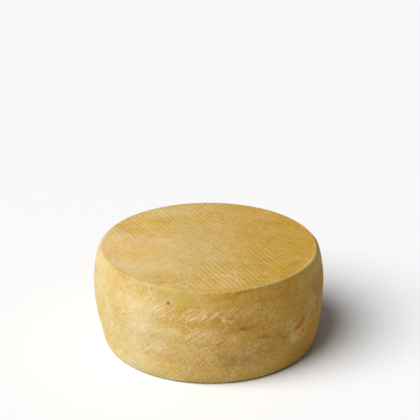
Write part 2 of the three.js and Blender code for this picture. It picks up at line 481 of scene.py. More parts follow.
@dataclass
class PlaitedSide:
    """The side, printed by a plaited band: rows of ribbed strands that lean right, then left."""

    barrel: Barrel
    ripening: Ripening

    # Strands round the wheel, fibres in each, and cells of the mesh: the base edge's by their tilt
    # in degrees.
    strands: int = 66
    ribs: int = 4
    cells_per_rib: int = 5
    strong_cells: int = 7
    weak_cells: int = 3
    fewest_cells: int = 3
    edge_tilts: tuple[float, ...] = (25, 50, 72, 90)
    levels: list[Level] = field(default_factory=list)

    # The lip round the top. Its rings: how far out from its foot, how pale, how far under its crest.
    lip_width: float = 2.6
    lip_rise: float = 0.35
    lip_drop: float = 0.9
    lip_rings: tuple[tuple[float, float, float], ...] = (
        (0.0, 0.0, lip_rise), (0.9, 0.3, 0.4 * lip_rise), (1.8, 1.0, 0.0), (2.3, 1.0, 0.25),
    )
    lip_notch: float = 0.45
    notch_by_strand: float = 0.3
    notch_by_fibre: float = 0.6
    lip_foot_share: float = 0.6
    lip_least: float = 0.25

    # The rim keeps its edge round one middle, within a reach; elsewhere it is worn round.
    sharp_rim: tuple[float, float, int] = (80, 74, 4)
    worn_height: float = 5.0
    worn_inset: float = 0.4
    worn_lip_drop: float = 2.6
    worn_rim_drop: float = 2.4

    # The smooth band under the lip, and the rows of strands under it.
    band_height: float = 14.0
    band_waist: float = 0.25
    band_step: float = 1.6
    waist_stretch: float = 1.1
    brushed_height: float = 5.0
    band_levels: tuple[float, ...] = (lip_drop, 2.3, 3.7, brushed_height, 8.0, 10.6, band_height - band_step)
    row_period: float = 21.4
    strong_height: float = 13.4
    brushed_slant: float = math.radians(33)
    strong_slant: float = math.radians(39)
    weak_slant: float = math.radians(-50)
    seam_start: float = math.radians(-19.4)

    # Depth of the print, and the shares of it that rows, strands and fibres take.
    row_sink: float = 0.12
    strand_depth: float = 0.1
    rib_depth: float = 0.06
    row_power: float = 3.2
    strand_power: int = 4
    strand_end: float = 0.45
    foot_height: float = 15.0
    foot_print: float = 0.6
    weak_fullness: float = 0.45
    weak_print: float = 0.3
    brushed_print: tuple[float, float] = (0.35, 0.55)
    band_print: tuple[float, float] = (0.08, 0.0)
    lip_print: float = 0.35
    edge_print: tuple[float, float] = (0.35, 0.4)
    crown_lean: float = 0.8
    crown_power: float = 2.6
    brushed: Shift = Shift(1.0, across=(-35, 5, 100, 60))

    # Unevenness of the form, and of the strands' course below the band.
    swell: Wander = Wander(3, 85.0, 0.28)
    dents: Wander = Wander(4, 17.0, 0.12)
    pits: Wander = Wander(5, 6.0, 0.08)
    even_base: float = 0.4
    stray_round: Wander = Wander(31, 45.0, 0.9)
    stray_up: Wander = Wander(32, 60.0, 0.8)
    stray_fade: float = 10.0
    stray_floor: float = 8.0

    # Fibres: ranges of their height, tone, start, end, how broken, where, and tone past the break.
    fibre_seed: int = 7
    fibre_ranges: tuple[tuple[float, float], ...] = (
        (0.5, 1.15), (0.0, 1.0), (-0.15, 0.25), (0.72, 1.15), (0.0, 1.2), (0.3, 0.7), (0.0, 1.0),
    )
    fibre_taper: float = 0.14
    break_reach: float = 0.11
    wavering: Wander = Wander(51, 22.0, 0.32)
    notch_share: float = 0.5
    weak_offset: float = 0.5
    thin_from: tuple[float, float] = (-75, 5)
    thinness: tuple[float, float] = (0.55, 1.15)
    calmed: Shift = Shift(-0.6, across=(-25, -60))
    calm_height: float = 0.85
    worn_level: float = 0.42

    # How clearly the fibres printed.
    usual_crisp: float = 0.72
    crisp_limits: tuple[float, float] = (0.1, 1.15)
    patchy: tuple[Wander, ...] = (Wander(11, 40.0, 0.2), Wander(12, 12.0, 0.14))
    less_patchy: Shift = Shift(-0.6, across=(-25, -75))
    sharpest: Patch = Patch(-15, 42, 50, 42, 0.42)
    blunted: tuple[Shift, ...] = (Shift(-0.5, across=(-28, -80)), Shift(-0.46, across=(5, 65)))

    # How pale the rind is, and how far its colour has deepened: partly with age, partly as painted shade
    # towards the right.
    pale_stray: Wander = Wander(13, 60.0, 0.06)
    dull_band: Shift = Shift(-0.16, down=(band_height + 2, band_height - 3))
    pale_to_deep: tuple[float, float] = (0.92, 0.42)
    deepening_weight: float = 0.66
    young_foot: Shift = Shift(-0.28, down=(66, 82))
    young_seen: tuple[Shift, ...] = (Shift(0.14, (60, 100), (66, 82)), Shift(-0.08, (-10, -40), (28, 40)))
    young_band: Shift = Shift(-0.12, down=(16, 8))
    young_band_place: tuple[float, float] = (-20, 35)
    # Painted shade: deeper towards the shaded right, less so near the top.
    right_shade: tuple[Shift, ...] = (Shift(0.3, (50, 95)), Shift(-0.34, (70, 105), (30, 12)))
    oily_band: Shift = Shift(0.25, (-40, 20, 80, 45), (band_height + 2, band_height - 2))

    # Stains: how far the patches stray, and the dark notches under the lip.
    stray_seeds: tuple[int, int] = (40, 60)
    stray_length: float = 13.0
    stray_sizes: tuple[float, float] = (2.0, 1.2)
    steady_height: float = 3.0
    notched: tuple[float, float, int] = (25, 40, 4)
    usual_notch: float = 0.6
    notch_stray: Wander = Wander(35, 11.0, 0.5)
    notch_limits: tuple[float, float] = (0.1, 1.3)
    notch_stain: float = 0.9
    joint_limits: tuple[float, float] = (0.35, 0.9)

    def turn_over(self, climb: float, slant: float) -> float:
        """How far round the wheel a strand goes, in radians, over a climb in millimetres."""
        return climb / math.tan(slant) / self.barrel.max_radius

    def turn_at(self, down: float) -> float:
        """How far round the strands have gone at a distance down from the top.

        Args:
            down: the distance in millimetres.

        Returns:
            The turn in radians.
        """
        if down < self.band_height:
            climb = max(0.0, self.brushed_height - down)
            return self.seam_start + self.turn_over(climb, self.brushed_slant)
        rows = math.floor((down - self.band_height) / self.row_period)
        rest = down - self.band_height - rows * self.row_period
        strong = rows * self.strong_height + min(rest, self.strong_height)
        weak = down - self.band_height - strong
        turned = self.turn_over(strong, self.strong_slant) + self.turn_over(weak, self.weak_slant)
        return self.seam_start - turned

    def lay_out(self) -> None:
        """Works out the levels of the mesh, from the lip's foot down to the base."""
        barrel = self.barrel
        foot = barrel.radius(barrel.height) - self.lip_width
        self.levels = [Level(0.0, foot + out, Zone.LIP, share, drop) for out, share, drop in self.lip_rings]
        for down in self.band_levels:
            self.add_level(down, Zone.BAND, down / self.band_height)
        start = self.band_height
        lowest = barrel.height - barrel.base_edge
        while start < lowest:
            length = min(self.strong_height, lowest - start)
            cells = max(self.fewest_cells, round(self.strong_cells * length / self.strong_height))
            for step in range(cells + 1):
                share = step / cells
                self.add_level(start + length * share, Zone.STRONG, share)
            weak = min(self.row_period, lowest - start) - length
            for step in range(1, self.weak_cells if weak > 0 else 1):
                share = step / self.weak_cells
                self.add_level(start + length + weak * share, Zone.WEAK, share)
            start += self.row_period
        for tilt in self.edge_tilts:
            height = barrel.base_edge * (1 - math.sin(math.radians(tilt)))
            self.add_level(barrel.height - height, Zone.EDGE, tilt / self.edge_tilts[-1])

    def add_level(self, down: float, zone: Zone, share: float) -> None:
        """Adds one level on the barrel, a distance down from the top and a share down its zone."""
        self.levels.append(Level(down, self.barrel.radius(self.barrel.height - down), zone, share))

    def envelope(self, level: Level) -> tuple[float, float, float]:
        """How strongly the print shows at a level.

        Args:
            level: the level.

        Returns:
            The fullness of the row, the share of the strand depth and the share of the rib depth.
        """
        swing = abs(2 * level.share - 1)
        if level.zone is Zone.STRONG:
            firm = 1.0 if level.down < self.barrel.height - self.foot_height else self.foot_print
            strand = self.strand_end + (1 - self.strand_end) * (1 - swing**self.strand_power)
            return 1 - swing**self.row_power, firm * strand, firm
        if level.zone is Zone.WEAK:
            return self.weak_fullness * (1 - swing**2), self.weak_print, self.weak_print
        if level.zone is Zone.BAND:
            bend = math.sin(math.pi * min(1.0, level.share * self.waist_stretch))
            shares = self.brushed_print if level.down < self.brushed_height else self.band_print
            return 1 - self.band_waist * bend / self.row_sink, *shares
        if level.zone is Zone.LIP:
            return 1.0, self.lip_print, 0.0
        return 1.0, *(share * (1 - level.share) for share in self.edge_print)

    def build(self) -> bpy.types.Object:
        """Rolls a grid into the side, presses the print into it and dresses it.

        Returns:
            The side's piece, open at its top and base.
        """
        self.lay_out()
        columns = self.strands * self.ribs * self.cells_per_rib
        piece = sheet_of_cells("cheese_rind", columns, len(self.levels) - 1)
        spots = self.spots(columns)
        printed = self.print_at(spots)
        move_to(piece, self.barrel.pressed(self.press(spots, printed)))
        self.dress(piece, spots, printed)
        return piece

    def spots(self, columns: int) -> Spots:
        """Works out where every vertex of the side is before the print is pressed in.

        Args:
            columns: cells round the wheel.

        Returns:
            The places, row by row from the top.
        """
        level_index = np.repeat(np.arange(len(self.levels)), columns + 1)
        # A hair's breadth past the joints, so that rounding puts no vertex in the strand before.
        hair = 1e-9
        strand = np.tile(np.arange(columns + 1), len(self.levels)) / (self.ribs * self.cells_per_rib) + hair
        places = [(level.radius, level.down, level.drop) for level in self.levels]
        radius, down, drop = np.array(places)[level_index].T
        turns = [self.turn_at(max(level.down, self.lip_drop)) for level in self.levels]
        turn = np.array(turns)[level_index]
        angle = FRONT + turn + FULL_TURN * strand / self.strands
        height = self.barrel.height - down - drop
        points = np.stack([radius * np.cos(angle), radius * np.sin(angle), height], 1)
        loose = np.clip((down - self.band_height) / self.stray_fade, 0, 1)
        loose = loose * np.clip((height - self.stray_floor) / self.stray_fade, 0, 1)
        angle = angle + loose * self.stray_round.at(points) / self.barrel.max_radius
        height = height + loose * self.stray_up.at(points)
        reach = self.barrel.max_radius
        return Spots(self.levels, level_index, strand, angle, radius, down, height, points, reach)

    def print_at(self, spots: Spots) -> Print:
        """Works out how the band printed every place.

        Args:
            spots: the side's places.

        Returns:
            The print.
        """
        crown = 1 - np.abs(2 * (spots.strand % 1.0) ** self.crown_lean - 1) ** self.crown_power
        stroke, tone = self.strokes(spots)
        full, strand, rib = spots.per_level(self.envelope).T
        rib = rib * np.where(spots.down < self.band_height, self.brushed.at(spots), 1.0)
        worn = 1 - near(spots.arc, *self.sharp_rim)
        return Print(stroke, tone, crown, self.crispness(spots), full, strand, rib, worn)

    def press(self, spots: Spots, printed: Print) -> np.ndarray:
        """Presses the print into the barrel and wears its rim round.

        Args:
            spots: the side's places.
            printed: how the band printed them.

        Returns:
            Rows of x, y and z in millimetres.
        """
        lip = spots.within(Zone.LIP)
        loose = spots.per_level(lambda level: level.down < self.barrel.height - self.even_base) * (1 - lip)
        outward = -self.row_sink * (1 - printed.full)
        outward -= self.strand_depth * printed.strand * (1 - printed.crown)
        outward -= self.rib_depth * printed.rib * (1 - printed.stroke) * printed.crisp
        outward += self.swell.at(spots.points) + self.pits.at(spots.points)
        outward += self.dents.at(spots.points) * spots.within(Zone.STRONG, Zone.WEAK)
        foot = self.barrel.radius(self.barrel.height) - self.lip_width
        up_lip = np.clip((spots.radius - foot) / self.lip_width, 0, 1) ** 2
        near_rim = np.clip(1 - spots.down / self.worn_height, 0, 1) ** 2
        inset = self.worn_inset * printed.worn * near_rim * np.where(lip > 0, up_lip, 1.0)
        reach = spots.radius + outward * loose - inset
        notch = self.notch_by_strand * (1 - printed.crown) + self.notch_by_fibre * (1 - printed.stroke)
        drop = self.lip_notch * lip * (1 - printed.worn) * notch
        worn_drop = self.worn_lip_drop * lip * up_lip + self.worn_rim_drop * (1 - lip) * near_rim
        drop += printed.worn * worn_drop
        return np.stack([reach * np.cos(spots.angle), reach * np.sin(spots.angle), spots.height - drop], 1)

    def dress(self, piece: bpy.types.Object, spots: Spots, printed: Print) -> None:
        """Stores what the material reads on the side.

        Args:
            piece: the side.
            spots: its places.
            printed: how the band printed them.
        """
        plait = spots.within(Zone.STRONG, Zone.WEAK)
        edge = spots.within(Zone.LIP) * spots.per_level(lambda level: level.share)
        edge += self.lip_foot_share * spots.per_level(lambda level: level.down == self.lip_drop)
        edge *= self.lip_least + (1 - self.lip_least) * np.clip(printed.stroke, 0, 1)
        under_lip = spots.within(Zone.BAND) * np.clip(1 - spots.down / self.brushed_height, 0.0, 1.0)
        notches = under_lip * (1 - printed.stroke) * near(spots.arc, *self.notched)
        notches *= np.clip(self.usual_notch + self.notch_stray.at(spots.points), *self.notch_limits)
        pale = self.paleness(spots)
        keep_attributes(
            piece,
            rib=printed.stroke,
            tone=printed.tone,
            relief=np.clip(printed.crisp * printed.rib, 0.0, 1.0),
            plait=plait,
            lip=edge * (1 - printed.worn),
            joint=plait * smooth_step(1 - printed.full, *self.joint_limits),
            pale=pale,
            deep=self.deepness(spots, pale),
            **self.stains(spots, notches),
        )
        width = FULL_TURN * self.barrel.max_radius / self.strands * math.sin(self.strong_slant)
        lengths = np.array(self.strand_lengths())[spots.level_index]
        keep_lay(piece, spots.strand * width * MM, lengths * MM)

    def strokes(self, spots: Spots) -> tuple[np.ndarray, np.ndarray]:
        """Draws the fibres: each rib of each row has its own height, ends and tone.

        Args:
            spots: the side's places.

        Returns:
            How full the fibre is at each place, and how pale, both from 0 to about 1.
        """
        row = spots.per_level(self.row_of).astype(int)
        share = spots.per_level(lambda level: level.share)
        coarse = np.where(row > 0, 1.0, self.notch_share)
        place = spots.strand * self.ribs * coarse + self.weak_offset * spots.within(Zone.WEAK)
        place = place + self.wavering.at(spots.points)
        number = np.floor(place).astype(int) % (self.strands * self.ribs)
        draw = np.random.default_rng(self.fibre_seed)
        shape = (row.max() + 1, self.strands * self.ribs)
        drawn = [draw.uniform(*limits, shape)[row, number] for limits in self.fibre_ranges]
        height, tone, start, end, broken, break_at, second_tone = drawn
        length = smooth_step(share - start, 0.0, self.fibre_taper)
        length *= smooth_step(end - share, 0.0, self.fibre_taper)
        length *= 1 - broken.clip(0.0, 1.0) * near(share, break_at, self.break_reach)
        length = np.where(row > 0, length, 1.0)
        tone = np.where((share - break_at) * broken > 0, second_tone, tone)
        thin = 1 + spots.shown * (np.interp(spots.arc, self.thin_from, self.thinness) - 1)
        across = (0.5 - 0.5 * np.cos(FULL_TURN * (place % 1.0))) ** thin
        lively = 1 + spots.shown * self.calmed.at(spots)
        height = self.calm_height + (height - self.calm_height) * lively
        stroke = self.worn_level + (across * height - self.worn_level) * length
        return stroke, 0.5 + (tone - 0.5) * np.sqrt(across) * length * lively

    def crispness(self, spots: Spots) -> np.ndarray:
        """How clearly the fibres printed: sharp left of the middle, worn towards both sides.

        Args:
            spots: the side's places.

        Returns:
            Numbers from 0.1 to 1.15.
        """
        patchy = sum(wander.at(spots.points) for wander in self.patchy)
        level = self.usual_crisp + (1 + spots.shown * self.less_patchy.at(spots)) * patchy
        level += self.sharpest.fade(spots.arc, spots.down)
        level += spots.shown * sum(shift.at(spots) for shift in self.blunted)
        return np.clip(level, *self.crisp_limits)

    def paleness(self, spots: Spots) -> np.ndarray:
        """How pale the rind is: creamy on the lit left and amber on the shaded right, partly the rind's own
        tone and partly painted light and shade.

        Args:
            spots: the side's places.

        Returns:
            Numbers from 0 to 1.
        """
        # Painted light and shade: paler towards the lit left, deeper towards the shaded right.
        level = 0.5 - 0.5 * np.sin(spots.arc / self.barrel.max_radius)
        level += self.pale_stray.at(spots.points) + self.dull_band.at(spots)
        return np.clip(level, 0.0, 1.0)

    def deepness(self, spots: Spots, pale: np.ndarray) -> np.ndarray:
        """How far the colour has deepened: partly with age, partly as painted shade; least on the lit left
        and near the base, most on the shaded right.

        Args:
            spots: the side's places.
            pale: how pale the rind is there.

        Returns:
            Numbers from 0 to 1.
        """
        # Painted shade: the colour deepens with the paleness, towards the shaded right.
        level = smooth_step(pale, *self.pale_to_deep) + self.young_foot.at(spots)
        level += spots.shown * sum(shift.at(spots) for shift in self.young_seen)
        level += self.young_band.at(spots) * near(spots.arc, *self.young_band_place)
        # Painted shade: deeper still on the shaded right, less so near the top.
        right_shade = spots.shown * sum(shift.at(spots) for shift in self.right_shade)
        return np.clip(self.deepening_weight * level + right_shade + self.oily_band.at(spots), 0.0, 1.0)

    def stains(self, spots: Spots, notches: np.ndarray) -> dict[str, np.ndarray]:
        """Works out the strength of every mark on the side.

        Args:
            spots: the side's places.
            notches: how dark the notches under the lip are at each place.

        Returns:
            The strengths, by the mark's attribute.
        """
        steady = np.clip(spots.down / self.steady_height, 0.0, 1.0)
        found = {}
        for number, spread in enumerate(self.ripening.spreads):
            across, down = (
                Wander(seed + number, self.stray_length, size).at(spots.points)
                for seed, size in zip(self.stray_seeds, self.stray_sizes)
            )
            found[spread.mark.value] = coverage(spread.side, spots.arc + across, spots.down + steady * down)
        found[Mark.UMBER.value] += self.notch_stain * notches
        return found

    def row_of(self, level: Level) -> int:
        """Number of the row that a level is in.

        Args:
            level: the level.

        Returns:
            0 in the band, then one more for each row downwards.
        """
        if level.zone not in (Zone.STRONG, Zone.WEAK):
            return 0
        rounding = 1e-6
        rows = math.floor((level.down - self.band_height) / self.row_period + rounding)
        return 1 + 2 * rows + (level.zone is Zone.WEAK)

    def strand_lengths(self) -> list[float]:
        """Measures the strands from the top down.

        Returns:
            The length along them to each level, in millimetres.
        """
        lengths = [0.0]
        for above, below in zip(self.levels, self.levels[1:]):
            drop = abs(below.down - above.down) + abs(below.radius - above.radius)
            slant = self.weak_slant if below.zone is Zone.WEAK else self.strong_slant
            lengths.append(lengths[-1] + drop / abs(math.sin(slant)))
        return lengths


@dataclass
class RibbedFace:
    """A flat face with the print of the pressing board: four quarters of straight ribs."""

    barrel: Barrel
    ripening: Ripening
    face: Face
    cells_along: int
    strength: tuple[float, ...]
    radius: float
    height: float
    land_share: float = 0.0
    quarters: int = 4
    cells_per_rib: int = 6

    # The ribs: their spacing, depth and angle, and how the print fades at the rim and the seams.
    pitch: float = 4.6
    depth: float = 0.45
    worn_share: float = 0.7
    ribs_from_seam: float = math.radians(38)
    rim_share: float = 0.35
    rim_fade: float = 2.0
    seam_blend: float = 0.08
    usual_crisp: float = 0.85
    crisp_stray: Wander = Wander(21, 38.0, 0.25)
    crisp_limits: tuple[float, float] = (0.35, 1.2)

    # The raised seam across the top, and the unevenness of the top.
    seam: float = math.radians(259)
    seam_ridge: float = 0.1
    seam_width: float = 0.9
    seam_fade: tuple[float, float] = (20, 40)
    seam_smooth: float = 0.7
    dents: tuple[Wander, ...] = (Wander(24, 11.0, 0.1), Wander(25, 60.0, 0.2))
    strays: tuple[Wander, ...] = (Wander(22, 40.0, 0.3), Wander(23, 40.0, 0.3))

    # What the material reads: how the colour follows the ribs, and how it changes from left to right.
    # Paler at the left and deeper towards the right: partly age, partly painted shade.
    tone_seed: int = 90
    most_ribs: int = 30
    tone_share: float = 0.5
    relief: float = 0.42
    smooth_plait: float = 0.85
    printed_plait: float = -0.7
    most_printed: float = 0.5
    middle_pale: float = 0.57
    pale_slope: float = -0.25
    deepening_places: tuple[float, ...] = (-0.9, -0.35, 0.0, 0.3, 0.8)
    deepening_shares: tuple[float, ...] = (0.0, 0.2, 0.45, 0.7, 0.95)
    mark_stray: Wander = Wander(80, 13.0, 0.6)

    def build(self) -> bpy.types.Object:
        """Makes the face from one grid for each quarter and joins them.

        Returns:
            The face's piece, open at its rim.
        """
        sectors = [self.build_quarter(quarter) for quarter in range(self.quarters)]
        activate(sectors[0])
        for sector in sectors[1:]:
            sector.select_set(True)
        bpy.ops.object.join()
        return sectors[0]

    def strength_at(self, x: np.ndarray, y: np.ndarray) -> np.ndarray:
        """How deep the ribs printed, blended across the seams.

        Args:
            x: place across, in millimetres.
            y: place away from the viewer, in millimetres.

        Returns:
            The share of the full depth.
        """
        quarter_turns = ((np.arctan2(y, x) - self.seam) % FULL_TURN) / FULL_TURN * self.quarters
        sides = (self.seam_blend, 1 - self.seam_blend)
        knots = [number + side for number in range(self.quarters) for side in sides]
        values = [value for value in self.strength for _ in sides]
        return np.interp(quarter_turns, knots, values, period=self.quarters)

    def build_quarter(self, quarter: int) -> bpy.types.Object:
        """Makes one quarter, whose ribs meet those of its neighbours on the seams.

        Args:
            quarter: its number, counted anticlockwise from the first seam.

        Returns:
            The quarter's piece.
        """
        openings = (self.ribs_from_seam, FULL_TURN / self.quarters - self.ribs_from_seam)
        before, after = openings if quarter % 2 == 0 else openings[::-1]
        cells_across = self.radius / self.pitch * self.cells_per_rib
        cells = [round(math.sin(turn) * cells_across) for turn in (before, after)]
        piece = sheet_of_cells("face_quarter", sum(cells), self.cells_along)
        first = -math.sin(before) * np.linspace(1.0, 0.0, cells[0] + 1)[:-1]
        second = math.sin(after) * np.linspace(0.0, 1.0, cells[1] + 1)
        aside = np.tile(self.radius * np.concatenate([first, second]), self.cells_along + 1)
        out = np.repeat(np.linspace(0.0, 1.0, self.cells_along + 1), sum(cells) + 1)
        inner = np.where(aside < 0, -aside / math.tan(before), aside / math.tan(after))
        outer = np.sqrt(np.maximum(self.radius**2 - aside**2, inner**2))
        along = inner + out * (outer - inner)
        middle = self.seam + FULL_TURN * quarter / self.quarters + before
        x = along * math.cos(middle) - aside * math.sin(middle)
        y = along * math.sin(middle) + aside * math.cos(middle)
        flat = np.stack([x, y, np.full_like(x, self.height)], 1)

        place = np.abs(aside) / self.pitch
        rise = 1 - smooth_step(np.abs(place - np.round(place)) * 2, self.land_share, 1.0)
        tones = np.random.default_rng(self.tone_seed + quarter).uniform(0.0, 1.0, 2 * self.most_ribs)
        own = tones[np.round(place).astype(int) + self.most_ribs * (aside > 0)]
        tone = 0.5 + self.tone_share * (own - 0.5) * rise
        crisp = np.clip(self.usual_crisp + self.crisp_stray.at(flat), *self.crisp_limits)
        crisp = crisp * self.strength_at(x, y)
        inside = smooth_step(self.radius - np.hypot(x, y), 0.0, self.rim_fade)
        pressed = self.press(flat, rise, crisp, inside)
        move_to(piece, self.barrel.pressed(pressed))
        rib = 0.5 + (rise - 0.5) * np.clip(crisp, 0.0, 1.0)
        keep_attributes(piece, rib=rib, tone=tone, relief=self.relief * inside, **self.looks(flat, pressed))
        keep_lay(piece, (aside + 2 * quarter * self.radius) * MM, along * MM)
        return piece

    def press(self, flat: np.ndarray, rise: np.ndarray, crisp: np.ndarray, inside: np.ndarray) -> np.ndarray:
        """Presses the ribs into the flat face.

        Args:
            flat: rows of x, y and z in millimetres.
            rise: how far up its rib each place is, from 0 to 1.
            crisp: share of the depth that the ribs printed there.
            inside: 1 away from the rim, falling to 0 at it.

        Returns:
            The pressed places, in millimetres.
        """
        x, y = flat[:, 0], flat[:, 1]
        depth = self.depth * self.worn_share * (self.rim_share + (1 - self.rim_share) * inside)
        sunk = depth * (1 - rise) * crisp
        moved = np.zeros_like(flat)
        if self.face is Face.TOP:
            from_seam = x * math.sin(self.seam) - y * math.cos(self.seam)
            ridge = near(from_seam, 0.0, self.seam_width) * smooth_step(np.hypot(x, y), *self.seam_fade)
            sunk = sunk * (1 - self.seam_smooth * ridge) - self.seam_ridge * ridge * inside
            sunk += inside * sum(wander.at(flat) for wander in self.dents)
            for axis, wander in enumerate(self.strays):
                moved[:, axis] = inside * wander.at(flat)
        moved[:, 2] = -self.face.value * sunk
        return flat + moved

    def looks(self, flat: np.ndarray, pressed: np.ndarray) -> dict[str, np.ndarray]:
        """Works out what the material reads on the face, besides its ribs.

        Args:
            flat: rows of x, y and z in millimetres, before the ribs were pressed in.
            pressed: the same places afterwards.

        Returns:
            The numbers of each attribute.
        """
        x, y = flat[:, 0], flat[:, 1]
        nothing = np.zeros_like(x)
        printed = np.clip(self.strength_at(x, y), 0.0, self.most_printed)
        found = {
            "plait": self.smooth_plait + self.printed_plait * printed,
            "joint": nothing,
            "lip": nothing,
            # Paler at the left of the top, deeper towards its right: partly the rind's tone and age, partly
            # painted light and shade.
            "pale": np.clip(self.middle_pale + self.pale_slope * x / self.radius, 0.0, 1.0),
            "deep": np.interp(x / self.radius, self.deepening_places, self.deepening_shares),
        }
        for number, spread in enumerate(self.ripening.spreads):
            stray = replace(self.mark_stray, seed=self.mark_stray.seed + number).at(pressed)
            found[spread.mark.value] = coverage(spread.top if self.face is Face.TOP else (), x + stray, y)
        return found


@dataclass
class CheeseRind:
    """The whole rind: the side and both faces welded into one closed skin."""

    barrel: Barrel = field(default_factory=Barrel)
    ripening: Ripening = field(default_factory=Ripening)
    face_margin: float = 1.5
    merge_gap: float = 0.02
    top_cells: int = 30
    top_strength: tuple[float, ...] = (0.5, 0.32, 0.38, 0.24)
    base_cells: int = 8
    base_strength: tuple[float, ...] = (0.8, 0.8, 0.8, 0.8)
    base_land: float = 0.55

    def build(self) -> bpy.types.Object:
        """Builds the skin.

        Returns:
            The finished piece.
        """
        side = PlaitedSide(self.barrel, self.ripening)
        piece = side.build()
        top = RibbedFace(
            self.barrel, self.ripening, Face.TOP, self.top_cells, self.top_strength,
            radius=self.barrel.radius(self.barrel.height) - side.lip_width - self.face_margin,
            height=self.barrel.height - side.lip_rise,
        )
        base = RibbedFace(
            self.barrel, self.ripening, Face.BASE, self.base_cells, self.base_strength,
            radius=self.barrel.radius(0.0) - self.face_margin, height=0.0, land_share=self.base_land,
        )
        faces = [top.build(), base.build()]
        activate(piece)
        for part in faces:
            part.select_set(True)
        bpy.ops.object.join()
        self.weld(piece)
        return piece

    def weld(self, piece: bpy.types.Object) -> None:
        """Merges the seams, bridges the faces to the side and turns every face outwards.

        Args:
            piece: the joined side and faces.
        """
        activate(piece)
        bpy.ops.object.mode_set(mode="EDIT")
        bpy.ops.mesh.select_mode(type="EDGE")
        bpy.ops.mesh.select_all(action="SELECT")
        bpy.ops.mesh.remove_doubles(threshold=self.merge_gap * MM)
        middle = 0.5 * self.barrel.height * MM
        for low, high in ((-math.inf, middle), (middle, math.inf)):
            bpy.ops.mesh.select_all(action="DESELECT")
            skin = bmesh.from_edit_mesh(piece.data)
            for edge in skin.edges:
                edge.select_set(edge.is_boundary and low < edge.verts[0].co.z < high)
            bmesh.update_edit_mesh(piece.data)
            bpy.ops.mesh.bridge_edge_loops()
        bpy.ops.mesh.select_all(action="SELECT")
        bpy.ops.mesh.normals_make_consistent(inside=False)
        bpy.ops.object.mode_set(mode="OBJECT")
        bpy.ops.object.shade_smooth()


def linear(code: str) -> tuple[float, float, float, float]:
    """Turns an sRGB colour code into the linear colour that shaders take.

    Args:
        code: six hexadecimal digits after a number sign.

    Returns:
        Red, green, blue and full alpha.
    """
    parts = [int(code[start:start + 2], 16) / 255 for start in (1, 3, 5)]
    red, green, blue = (p / 12.92 if p <= 0.04045 else ((p + 0.055) / 1.055) ** 2.4 for p in parts)
    return red, green, blue, 1.0


def per_mm(size: float) -> float:
    """Scale of a texture that reads metres, for features of a size in millimetres."""
    return 1 / (size * MM)


@dataclass(frozen=True)
class Speck:
    """One small spot on the side: its place, its radius in millimetres and its strength."""

    across: float
    down: float
    size: float
    strength: float = 0.7

    def spot(self, barrel: Barrel) -> tuple[float, float, float]:
        """Finds the spot's place on the wheel.

        Args:
            barrel: the wheel's form.

        Returns:
            Its place, in metres.
        """
        height = barrel.height - self.down
        angle = FRONT + self.across / barrel.max_radius
        radius = barrel.radius(height)
        place = np.array([[radius * math.cos(angle), radius * math.sin(angle), height]])
        return tuple(barrel.pressed(place)[0])


@dataclass(frozen=True)
class TopSpeck(Speck):
    """One small spot on the top: across from its middle, and down towards the viewer."""

    under_lip: float = 0.4

    def spot(self, barrel: Barrel) -> tuple[float, float, float]:
        """Finds the spot's place on the wheel, in metres."""
        place = np.array([[self.across, -self.down, barrel.height - self.under_lip]])
        return tuple(barrel.pressed(place)[0])


